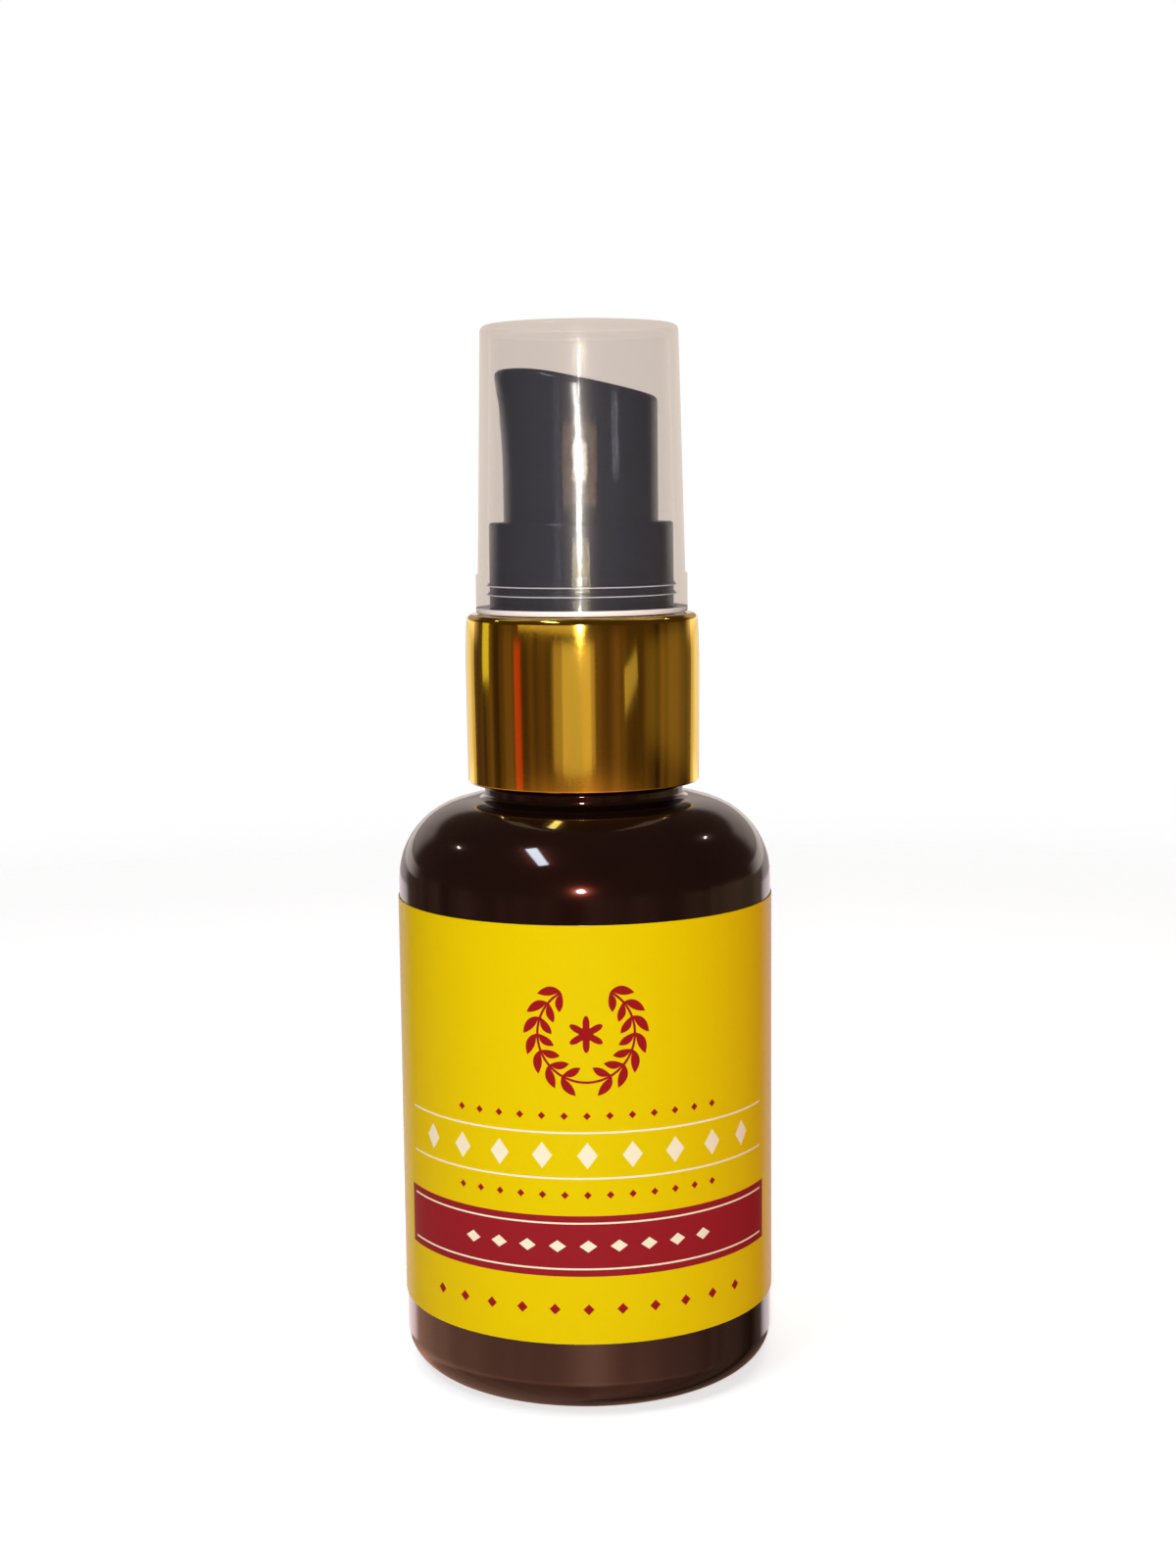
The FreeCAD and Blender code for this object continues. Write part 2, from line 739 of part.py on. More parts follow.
PIECES = {
    "bottle": make_bottle,
    "label": make_label,
    "closure": make_closure,
    "collar_shell": make_collar_shell,
    "gasket": make_gasket,
    "pump_housing": make_pump_housing,
    "stem_guide": make_stem_guide,
    "stem": make_stem,
    "poppet": make_poppet,
    "piston": make_piston,
    "return_spring": make_return_spring,
    "check_ball": make_check_ball,
    "dip_tube": make_dip_tube,
    "chaplet": make_chaplet,
    "actuator": make_actuator,
    "overcap": make_overcap,
}


def main():
    os.makedirs("parts", exist_ok=True)
    for name, make in PIECES.items():
        make().exportStep(os.path.join("parts", name + ".step"))
    print("spring: least gap between turns", round(spring_gap(), 3), "mm")


main()
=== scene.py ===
"""Pump oil bottle: finished meshes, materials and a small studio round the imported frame.

Metres, +Z up, in the frame's own axes: the label faces -Y, the nozzle points to -X and the bottle stands
on z 0. Sizes are written in millimetres and turned to metres where they are declared or used.
"""

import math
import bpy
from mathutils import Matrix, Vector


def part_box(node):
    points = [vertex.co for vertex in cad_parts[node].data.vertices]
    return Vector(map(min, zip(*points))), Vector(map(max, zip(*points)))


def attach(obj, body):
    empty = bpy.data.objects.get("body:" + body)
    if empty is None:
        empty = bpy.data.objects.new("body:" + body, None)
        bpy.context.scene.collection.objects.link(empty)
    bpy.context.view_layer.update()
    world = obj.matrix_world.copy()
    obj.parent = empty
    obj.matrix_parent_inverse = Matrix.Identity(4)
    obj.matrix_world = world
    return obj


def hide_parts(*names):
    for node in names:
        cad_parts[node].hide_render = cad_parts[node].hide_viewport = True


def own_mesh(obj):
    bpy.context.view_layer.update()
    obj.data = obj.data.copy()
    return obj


bl_info = {
    "name": "Pump oil bottle",
    "version": (1, 0, 0),
    "blender": (4, 5, 0),
    "location": "View3D > Sidebar > Pump bottle",
    "description": "Builds the finished pieces of a pump oil bottle and a studio to show it in",
    "category": "Add Mesh",
}

import bmesh
import bpy
from bpy.props import FloatProperty, FloatVectorProperty, IntProperty, PointerProperty
from mathutils import Matrix, Vector

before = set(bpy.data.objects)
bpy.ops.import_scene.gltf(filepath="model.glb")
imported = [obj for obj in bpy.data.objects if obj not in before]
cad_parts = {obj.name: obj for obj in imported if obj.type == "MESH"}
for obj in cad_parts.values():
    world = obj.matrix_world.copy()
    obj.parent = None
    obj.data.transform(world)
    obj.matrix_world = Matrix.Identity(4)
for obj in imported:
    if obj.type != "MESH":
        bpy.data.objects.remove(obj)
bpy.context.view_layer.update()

MM = 0.001
TURN = 2 * math.pi
UP = (0.0, 0.0, 1.0)
ORIGIN = (0.0, 0.0, 0.0)
MERGE = 1e-7
SHARP_ANGLE = math.radians(32)
# Typical of polypropylene, and near enough for polyethylene
PLASTIC_IOR = 1.49


def linear(code):
    """Linear RGB of an sRGB hex colour."""
    channels = [int(code[place:place + 2], 16) / 255 for place in (1, 3, 5)]
    return tuple(c / 12.92 if c <= 0.04045 else ((c + 0.055) / 1.055) ** 2.4 for c in channels)


def length(name, text, millimetres):
    """A length property, given in millimetres."""
    return FloatProperty(name=name, description=text, default=millimetres * MM, min=0, precision=5,
                         subtype="DISTANCE", unit="LENGTH")


def angle(name, text, degrees):
    """An angle property, given in degrees."""
    return FloatProperty(name=name, description=text, default=math.radians(degrees), subtype="ANGLE",
                         unit="ROTATION")


def colour(name, text, code):
    """A colour property, given as sRGB hex."""
    return FloatVectorProperty(name=name, description=text, default=linear(code), size=3, min=0, max=1,
                               subtype="COLOR")


class PumpBottleSizes(bpy.types.PropertyGroup):
    """Sizes of the finished pieces that the frame's boxes don't give."""

    steps: IntProperty(name="Steps", description="Steps of a full turn of a lathed piece", default=160,
                       min=24)
    heel: length("Heel", "Rounding between the bottle's wall and its floor", 3.6)
    shoulder: length("Shoulder", "Radius of the bottle's shoulder", 8.0)
    shelf: length("Shelf", "Level stretch between the shoulder and the neck", 0.9)
    ring_height: length("Neck ring height", "Height of the ring at the foot of the neck", 1.5)
    finish: length("Finish radius", "Radius of the neck finish without its thread", 8.7)
    finish_height: length("Finish height", "Neck ring's top to the rim", 14.2)
    wall: length("Wall", "Thickness of the bottle's wall", 0.8)
    neck_wall: length("Neck wall", "Thickness of the neck", 1.6)
    floor: length("Floor", "Thickness of the bottle's floor", 1.2)
    push_up: length("Push-up", "Height of the domed floor", 2.0)
    standing_ring: length("Standing ring", "Width of the flat ring that the bottle stands on", 2.9)
    gate: length("Gate", "Radius of the moulding gate's nub under the floor", 1.1)
    thread_pitch: length("Thread pitch", "Pitch of the neck's thread", 3.175)
    thread_depth: length("Thread depth", "How far a thread stands out of its wall", 0.85)
    thread_drop: length("Thread drop", "Rim to the thread's upper end", 1.6)
    label_corner: length("Label corner", "Rounding of the label's corners", 2.0)
    shell_wall: length("Shell wall", "Thickness of the gold shell", 0.35)
    shell_edge: length("Shell edge", "Rounding of the shell's top edge", 0.6)
    shell_foot: length("Shell foot", "Rounding of the shell's lower edge, outside", 0.22)
    shell_crown: length("Shell crown", "Height of the faintly crowned stretch under the top edge", 3.2)
    shell_flare: length("Shell flare", "How much wider the shell's top is, on the radius", 0.1)
    shell_hole: length("Shell hole", "Radius of the hole round the pump's ring", 9.45)
    spring_wire: length("Spring wire", "Diameter of the spring's wire", 0.7)
    spring_end_pitch: length("Spring end pitch", "Pitch of the spring's two end turns", 1.15)
    cap_wall: length("Overcap wall", "Thickness of the clear cap", 0.95)
    cap_band: length("Overcap band", "Height of the thicker band round the cap's mouth", 3.9)
    cap_step: length("Overcap step", "How far that band stands out", 0.12)
    # The frosted stretch and the two snap grooves also carry a light tone that paints highlight lines on
    # the cap
    cap_dull: length("Overcap dull edge", "Height of the frosted stretch at the cap's mouth", 0.55)
    cap_groove: length("Overcap groove", "Depth of the two snap grooves inside the cap's band", 0.045)
    cap_groove_low: length("Lower groove", "Cap's mouth to its lower snap groove", 1.85)
    cap_groove_high: length("Upper groove", "Cap's mouth to its upper snap groove", 2.75)
    cap_edge: length("Overcap edge", "Rounding of the cap's top edge", 0.6)
    cap_draft: angle("Overcap draft", "Lean of the cap's wall", 1.35)


class PumpBottleColours(bpy.types.PropertyGroup):
    """Colours of the finishes."""

    amber: colour("Amber", "Dark amber of the bottle", "#1A0C09")
    amber_glow: colour("Amber glow", "Red of what the wall's inner face throws back", "#FF6A50")
    film: colour("Label ground", "Yellow of the label", "#F0D000")
    band: colour("Label band", "Dark red of the label's band", "#9C2029")
    ornament: colour("Label ornament", "Red of the label's ornament", "#A3171D")
    trim: colour("Label trim", "Warm white of the label's rules", "#FFF3D6")
    gold: colour("Gold", "Anodised gold of the shell", "#E8BE46")
    black: colour("Black", "Black of the pump", "#111417")
    clear: colour("Clear", "Tone that the clear cap's faces add", "#5E5F6C")
    # Light tone of the cap's dull mouth, which also paints the highlight lines at the mouth and over the
    # snap grooves
    frosted: colour("Frosted", "Tone of the cap's dull lower edge", "#EDE8EE")
    white: colour("White", "White of the pump's inner mouldings", "#EDEBE6")
    natural: colour("Natural", "Milky tone of unpigmented plastic", "#DCD8CE")
    steel: colour("Steel", "Colour of the spring and the ball", "#B9B8B6")


class PumpBottleStage(bpy.types.PropertyGroup):
    """Camera and studio."""

    lens: FloatProperty(name="Lens", description="Focal length in millimetres", default=51.9,
                        unit="CAMERA")
    sensor: FloatProperty(name="Sensor", description="Height of the sensor in millimetres", default=36.0,
                          unit="CAMERA")
    pitch: angle("Pitch", "How far the camera looks down", 7.3)
    roll: angle("Roll", "How far the camera leans", 0.6)
    camera_place: FloatVectorProperty(name="Camera place", description="Where the camera stands", size=3,
                                      default=(0.43 * MM, -229.23 * MM, 89.12 * MM),
                                      subtype="TRANSLATION", unit="LENGTH")
    floor_radius: length("Floor radius", "Radius of the pale floor", 420)
    backdrop: colour("Backdrop", "Pale tone behind the object", "#FFFFFF")
    through_cap: colour("Through the cap", "Backdrop's tone behind the cap's two walls", "#F8E8DA")
    room: colour("Room", "Dim tone of the room that the glossy pieces mirror", "#5A463A")


def add_node(tree, kind, inputs=None, out=0, **settings):
    """Adds a shader node with its settings and returns one of its output sockets.

    An input is a value, or a socket that it is linked from. A Mix node of colours has its factor at 0,
    its two colours at 6 and 7, and its result at output 2.
    """
    node = tree.nodes.new("ShaderNode" + kind)
    for name, value in settings.items():
        setattr(node, name, value)
    for name, value in (inputs or {}).items():
        if isinstance(value, bpy.types.NodeSocket):
            tree.links.new(value, node.inputs[name])
        else:
            node.inputs[name].default_value = value
    return node.outputs[out] if node.outputs else None


def new_material(name):
    """A material with an empty node tree; returns both, and the socket of its Object coordinates."""
    material = bpy.data.materials.new(name)
    material.use_nodes = True
    tree = material.node_tree
    tree.nodes.clear()
    return material, tree, add_node(tree, "TexCoord", out="Object")


def tone(shade, share=1.0):
    """A colour property, brightened or darkened, as the four numbers that a socket takes."""
    return (*(channel * share for channel in shade), 1.0)


def amber_pet(colours):
    """Blow-moulded amber PET: a brown so deep that it reads near black, glossy, with the slow waviness
    that blowing leaves in a wall, and a red glow round each highlight from the wall's inner face."""
    material, tree, place = new_material("amber_pet")
    # How far apart the wall's thick and thin places are
    size = 9 * MM
    swell = add_node(tree, "TexNoise", {"Vector": place, "Scale": 1 / size, "Detail": 1.0})
    tint = add_node(tree, "Mix", {
        0: swell,
        6: tone(colours.amber, 0.75),
        7: tone(colours.amber, 1.3),
    }, out=2, data_type="RGBA")
    wave = add_node(tree, "Bump", {"Height": swell, "Distance": 0.012 * MM, "Strength": 0.6})
    shader = add_node(tree, "BsdfPrincipled", {
        "Base Color": tint,
        "Roughness": 0.2,
        "IOR": 1.5,
        "Specular IOR Level": 0.22,
        "Specular Tint": tone(colours.amber_glow),
        "Normal": wave,
        "Coat Weight": 1.0,
        "Coat Roughness": 0.06,
        "Coat IOR": 1.57,
        "Coat Normal": wave,
    })
    add_node(tree, "OutputMaterial", {"Surface": shader})
    return material


def label_film(colours, radius):
    """Printed polypropylene film: flat yellow ink under a satin varnish, a dark red band, and a plain
    ornament of leaves and lozenges in red and warm white."""
    material, tree, place = new_material("printed_label_film")
    axes = add_node(tree, "SeparateXYZ", {0: place}).node.outputs
    # Flat coordinates of the unrolled film in millimetres: along is 0 at the front, rise is the height
    front = add_node(tree, "Math", {0: axes["Y"], 1: -1.0}, operation="MULTIPLY")
    turn = add_node(tree, "Math", {0: axes["X"], 1: front}, operation="ARCTAN2")
    along = add_node(tree, "Math", {0: turn, 1: radius / MM}, operation="MULTIPLY")
    rise = add_node(tree, "Math", {0: axes["Z"], 1: 1 / MM}, operation="MULTIPLY")
    side = add_node(tree, "Math", {0: along}, operation="ABSOLUTE")

    # Dark red band across the front
    band_half = 3.02
    band_height = 17.32
    band_reach = 22.4
    in_height = add_node(tree, "Math", {0: rise, 1: band_height, 2: band_half},
                         operation="COMPARE")
    in_reach = add_node(tree, "Math", {0: side, 1: band_reach}, operation="LESS_THAN")
    band = add_node(tree, "Math", {0: in_height, 1: in_reach}, operation="MULTIPLY")

    # Rows of lozenges: height, spacing, half width, half height, reach to each side, and ink
    rows = (
        (26.3, 4.4, 1.0, 1.3, 20.0, "trim"),
        (30.2, 2.2, 0.38, 0.38, 14.6, "ornament"),
        (22.4, 2.2, 0.38, 0.38, 14.6, "ornament"),
        (band_height, 3.0, 0.85, 0.6, 13.2, "trim"),
        (11.0, 3.3, 0.55, 0.55, 18.0, "ornament"),
    )
    masks = {"trim": [], "ornament": []}
    for height, spacing, half_width, half_height, reach, ink in rows:
        half_gap = spacing / 2
        step = add_node(tree, "Math", {0: along, 1: half_gap, 2: -half_gap}, operation="WRAP")
        step = add_node(tree, "Math", {0: step}, operation="ABSOLUTE")
        lift = add_node(tree, "Math", {0: rise, 1: height}, operation="SUBTRACT")
        lift = add_node(tree, "Math", {0: lift}, operation="ABSOLUTE")
        lift = add_node(tree, "Math", {0: lift, 1: 1 / half_height}, operation="MULTIPLY")
        lozenge = add_node(tree, "Math", {0: step, 1: 1 / half_width, 2: lift},
                           operation="MULTIPLY_ADD")
        shape = add_node(tree, "Math", {0: lozenge, 1: 1.0}, operation="LESS_THAN")
        limit = add_node(tree, "Math", {0: side, 1: reach}, operation="LESS_THAN")
        masks[ink].append(add_node(tree, "Math", {0: shape, 1: limit}, operation="MULTIPLY"))

    # Thin rules in warm white: height and half thickness
    rule_reach = 21.6
    limit = add_node(tree, "Math", {0: side, 1: rule_reach}, operation="LESS_THAN")
    for height, half_width in ((28.55, 0.1), (24.05, 0.1), (19.6, 0.09), (15.05, 0.09)):
        rule = add_node(tree, "Math", {0: rise, 1: height, 2: half_width}, operation="COMPARE")
        masks["trim"].append(add_node(tree, "Math", {0: rule, 1: limit}, operation="MULTIPLY"))

    # Wreath: pairs of pointed leaves along a ring, open at the top
    wreath_height = 38.2
    ring_radius = 4.7
    pairs_per_turn = 18
    leaf_spread = 0.75
    leaf_lean = math.radians(-38)
    leaf_half_width = 0.42
    leaf_half_length = 1.05
    stalk_half = 0.12
    # Half the turn from one pair of leaves to the next, and its length along the ring
    half_pair = math.pi / pairs_per_turn
    half_step = ring_radius * half_pair
    low = add_node(tree, "Math", {0: rise, 1: wreath_height}, operation="SUBTRACT")
    flat = add_node(tree, "CombineXYZ", {"X": along, "Y": low})
    reach = add_node(tree, "VectorMath", {0: flat}, out="Value", operation="LENGTH")
    heading = add_node(tree, "Math", {0: side, 1: low}, operation="ARCTAN2")
    out_of_ring = add_node(tree, "Math", {0: reach, 1: ring_radius}, operation="SUBTRACT")
    off_ring = add_node(tree, "Math", {0: out_of_ring}, operation="ABSOLUTE")
    across = add_node(tree, "Math", {0: off_ring, 1: leaf_spread}, operation="SUBTRACT")
    arc = add_node(tree, "Math", {0: heading, 1: ring_radius}, operation="MULTIPLY")
    beside = add_node(tree, "Math", {0: arc, 1: half_step, 2: -half_step}, operation="WRAP")
    leaf_place = add_node(tree, "CombineXYZ", {"X": across, "Y": beside})
    leaf_axes = add_node(tree, "Mapping", {
        "Vector": leaf_place,
        "Rotation": (0.0, 0.0, leaf_lean),
        "Scale": (leaf_half_width, leaf_half_length, 1.0),
    }, vector_type="TEXTURE")
    leaf_sides = add_node(tree, "SeparateXYZ", {0: leaf_axes}).node.outputs
    width = add_node(tree, "Math", {0: leaf_sides["X"]}, operation="ABSOLUTE")
    leaf = add_node(tree, "Math", {0: leaf_sides["Y"], 1: leaf_sides["Y"], 2: width},
                    operation="MULTIPLY_ADD")
    leaf = add_node(tree, "Math", {0: leaf, 1: 1.0}, operation="LESS_THAN")
    # The leaves stop short of the open top and of the foot, where the stalk joins the two sides
    gap_end = 3 * half_pair
    foot_start = math.pi - half_pair
    middle = (gap_end + foot_start) / 2
    half_arc = (foot_start - gap_end) / 2
    in_arc = add_node(tree, "Math", {0: heading, 1: middle, 2: half_arc}, operation="COMPARE")
    leaves = add_node(tree, "Math", {0: leaf, 1: in_arc}, operation="MULTIPLY")
    stalk = add_node(tree, "Math", {0: off_ring, 1: stalk_half}, operation="LESS_THAN")
    below_gap = add_node(tree, "Math", {0: heading, 1: gap_end}, operation="GREATER_THAN")
    stalk = add_node(tree, "Math", {0: stalk, 1: below_gap}, operation="MULTIPLY")

    # Rosette inside the wreath, whose edge swings in and out about a middle radius
    petal_count = 6.0
    petal_swing = 0.55
    petal_middle = 1.25
    edge = add_node(tree, "Math", {0: heading, 1: petal_count}, operation="MULTIPLY")
    edge = add_node(tree, "Math", {0: edge}, operation="COSINE")
    edge = add_node(tree, "Math", {0: edge, 1: petal_swing, 2: petal_middle},
                    operation="MULTIPLY_ADD")
    rosette = add_node(tree, "Math", {0: reach, 1: edge}, operation="LESS_THAN")
    masks["ornament"] += [leaves, stalk, rosette]

    # Inks over each other, on a ground with the film's fine grain
    size = 0.35 * MM
    grain = add_node(tree, "TexNoise", {"Vector": place, "Scale": 1 / size, "Detail": 2.0})
    face = add_node(tree, "Mix", {
        0: grain,
        6: tone(colours.film, 0.97),
        7: tone(colours.film),
    }, out=2, data_type="RGBA")
    for ink, layers in (("band", [band]), ("ornament", masks["ornament"]), ("trim", masks["trim"])):
        cover = layers[0]
        for layer in layers[1:]:
            cover = add_node(tree, "Math", {0: cover, 1: layer}, operation="MAXIMUM")
        face = add_node(tree, "Mix", {0: cover, 6: face, 7: tone(getattr(colours, ink))},
                        out=2, data_type="RGBA")
    gloss = add_node(tree, "MapRange", {"Value": grain, "To Min": 0.2, "To Max": 0.28})
    depth = 0.004 * MM
    relief = add_node(tree, "Bump", {"Height": grain, "Distance": depth, "Strength": 0.35})
    shader = add_node(tree, "BsdfPrincipled", {
        "Base Color": face,
        "Roughness": gloss,
        "IOR": PLASTIC_IOR,
        "Specular IOR Level": 0.06,
        "Normal": relief,
    })
    add_node(tree, "OutputMaterial", {"Surface": shader})
    return material


def gold_aluminium(colours, radius):
    """Deep-drawn aluminium, polished and anodised gold: a clear mirror with faint upright draw lines, a
    little clouded by fine grains."""
    material, tree, place = new_material("anodised_gold_aluminium")
    axes = add_node(tree, "SeparateXYZ", {0: place}).node.outputs
    turn = add_node(tree, "Math", {0: axes["X"], 1: axes["Y"]}, operation="ARCTAN2")
    along = add_node(tree, "Math", {0: turn, 1: radius}, operation="MULTIPLY")
    # Draw lines as long as the shell, wider than real ones so that they show
    line = 0.6 * MM
    stretch = 50
    slow = add_node(tree, "Math", {0: axes["Z"], 1: 1 / stretch}, operation="MULTIPLY")
    drawn = add_node(tree, "CombineXYZ", {"X": along, "Y": slow})
    lines = add_node(tree, "TexNoise", {"Vector": drawn, "Scale": 1 / line, "Detail": 2.0})
    polish = add_node(tree, "MapRange", {"Value": lines, "To Min": 0.04, "To Max": 0.09})
    # Grains, and how much they add to the lines' roughness and height
    size = 0.3 * MM
    haze = 0.05
    share = 0.6
    grain = add_node(tree, "TexNoise", {"Vector": place, "Scale": 1 / size, "Detail": 2.0})
    gloss = add_node(tree, "Math", {0: grain, 1: haze, 2: polish}, operation="MULTIPLY_ADD")
    height = add_node(tree, "Math", {0: grain, 1: share, 2: lines}, operation="MULTIPLY_ADD")
    depth = 0.004 * MM
    relief = add_node(tree, "Bump", {"Height": height, "Distance": depth, "Strength": 0.25})
    shader = add_node(tree, "BsdfPrincipled", {
        "Base Color": tone(colours.gold),
        "Metallic": 1.0,
        "Roughness": gloss,
        "Normal": relief,
    })
    add_node(tree, "OutputMaterial", {"Surface": shader})
    return material


def moulded(name, shade, smooth, rough, grain, relief, clear=0.0):
    """Moulded or extruded plastic: its skin shows as a fine swell that breaks up the gloss.

    Roughness runs from smooth to rough. The swell is grain wide and relief high, in millimetres.
    """
    material, tree, place = new_material(name)
    size = grain * MM
    swell = add_node(tree, "TexNoise", {"Vector": place, "Scale": 1 / size, "Detail": 2.0})
    tint = add_node(tree, "Mix", {0: swell, 6: tone(shade, 0.92), 7: tone(shade)}, out=2,
                    data_type="RGBA")
    gloss = add_node(tree, "MapRange", {"Value": swell, "To Min": smooth, "To Max": rough})
    skin = add_node(tree, "Bump", {"Height": swell, "Distance": relief * MM, "Strength": 0.5})
    shader = add_node(tree, "BsdfPrincipled", {
        "Base Color": tint,
        "Roughness": gloss,
        "IOR": PLASTIC_IOR,
        "Transmission Weight": clear,
        "Normal": skin,
    })
    add_node(tree, "OutputMaterial", {"Surface": shader})
    return material


def clear_polypropylene(colours):
    """Clarified polypropylene in a thin wall: what is seen through it stays straight and sharp, and only
    loses a little light at each face, under a glossy skin with a soft haze round its highlights."""
    material, tree, place = new_material("clear_polypropylene")
    # How far apart the melt's flow marks are
    size = 1.5 * MM
    flow = add_node(tree, "TexNoise", {"Vector": place, "Scale": 1 / size, "Detail": 2.0})
    tint = add_node(tree, "Mix", {
        0: flow,
        6: tone(colours.clear, 0.97),
        7: tone(colours.clear),
    }, out=2, data_type="RGBA")
    haze = add_node(tree, "MapRange", {"Value": flow, "To Min": 0.24, "To Max": 0.3})
    shader = add_node(tree, "BsdfPrincipled", {
        "Base Color": tint,
        "Roughness": haze,
        "IOR": PLASTIC_IOR,
        "Alpha": 0.12,
        "Coat Weight": 1.0,
        "Coat Roughness": 0.06,
        "Coat IOR": PLASTIC_IOR,
    })
    add_node(tree, "OutputMaterial", {"Surface": shader})
    return material


def bare_steel(name, shade, smooth, rough, grain):
    """Stainless steel, drawn or polished: grey metal whose gloss wanders with the finish.

    Roughness runs from smooth to rough over stretches that are grain wide, in millimetres.
    """
    material, tree, place = new_material(name)
    size = grain * MM
    drift = add_node(tree, "TexNoise", {"Vector": place, "Scale": 1 / size, "Detail": 3.0})
    gloss = add_node(tree, "MapRange", {"Value": drift, "To Min": smooth, "To Max": rough})
    tint = add_node(tree, "Mix", {0: drift, 6: tone(shade, 0.85), 7: tone(shade)}, out=2,
                    data_type="RGBA")
    shader = add_node(tree, "BsdfPrincipled", {
        "Base Color": tint,
        "Metallic": 1.0,
        "Roughness": gloss,
    })
    add_node(tree, "OutputMaterial", {"Surface": shader})
    return material


def round_corner(bm, vert, radius, segments):
    """Rounds a corner of a wire with an arc that touches both its edges."""
    ways = [(edge.other_vert(vert).co - vert.co).normalized() for edge in vert.link_edges]
    reach = radius / math.tan(ways[0].angle(ways[1]) / 2)
    bmesh.ops.bevel(bm, geom=[vert], offset=reach, offset_type="ABSOLUTE", segments=segments,
                    profile=0.5, affect="VERTICES", clamp_overlap=False, material=-1)


def lathe(corners, steps, segments=8):
    """Closed shell turned about the Z axis from a section of (radius, height, rounding) corners."""
    bm = bmesh.new()
    verts = [bm.verts.new((radius, 0, height)) for radius, height, _ in corners]
    on_axis = corners[0][0] == 0 and corners[-1][0] == 0
    for start, stop in zip(verts, verts[1:] if on_axis else verts[1:] + verts[:1]):
        bm.edges.new((start, stop))
    for vert, (_, _, rounding) in zip(verts, corners):
        if rounding:
            round_corner(bm, vert, rounding, segments)
    bmesh.ops.spin(bm, geom=bm.verts[:] + bm.edges[:], cent=ORIGIN, axis=UP, angle=TURN, steps=steps,
                   use_merge=True)
    bmesh.ops.remove_doubles(bm, verts=bm.verts, dist=MERGE)
    bmesh.ops.recalc_face_normals(bm, faces=bm.faces)
    return bm


def helix(section, runs, steps):
    """Bar wound up the Z axis: section is its corners at the start, runs are (turns, pitch) pairs."""
    bm = bmesh.new()
    start = bm.faces.new([bm.verts.new(corner) for corner in section])
    end = bmesh.ops.duplicate(bm, geom=[start])["geom"]
    geom = [part for part in end if isinstance(part, (bmesh.types.BMVert, bmesh.types.BMEdge,
                                                      bmesh.types.BMFace))]
    for turns, pitch in runs:
        count = round(steps * turns)
        geom = bmesh.ops.spin(bm, geom=geom, cent=ORIGIN, axis=UP, dvec=(0, 0, pitch * turns / count),
                              angle=TURN * turns, steps=count)["geom_last"]
    bmesh.ops.remove_doubles(bm, verts=bm.verts, dist=MERGE)
    bmesh.ops.recalc_face_normals(bm, faces=bm.faces)
    return bm


def add_piece(name, bm, material, body, slot, *nodes):
    """Makes an object of a bmesh, smooth but for its sharp edges, that rides on a body."""
    for face in bm.faces:
        face.smooth = True
    for edge in bm.edges:
        edge.smooth = edge.calc_face_angle(0) < SHARP_ANGLE
    mesh = bpy.data.meshes.new(name)
    bm.to_mesh(mesh)
    bm.free()
    mesh.materials.append(material)
    piece = bpy.data.objects.new(name, mesh)
    bpy.context.scene.collection.objects.link(piece)
    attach(piece, body)
    if nodes:
        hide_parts(*nodes)
    return piece


def dress(node, material):
    """Gives a node of the frame a finished material."""
    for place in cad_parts[node].material_slots:
        place.material = material


def dome_knee(radius, rise):
    """Radius of a shallow dome, and where its end tangents meet, out from the axis."""
    ball = (radius ** 2 + rise ** 2) / (2 * rise)
    return ball, ball * math.tan(math.asin(radius / ball) / 2)


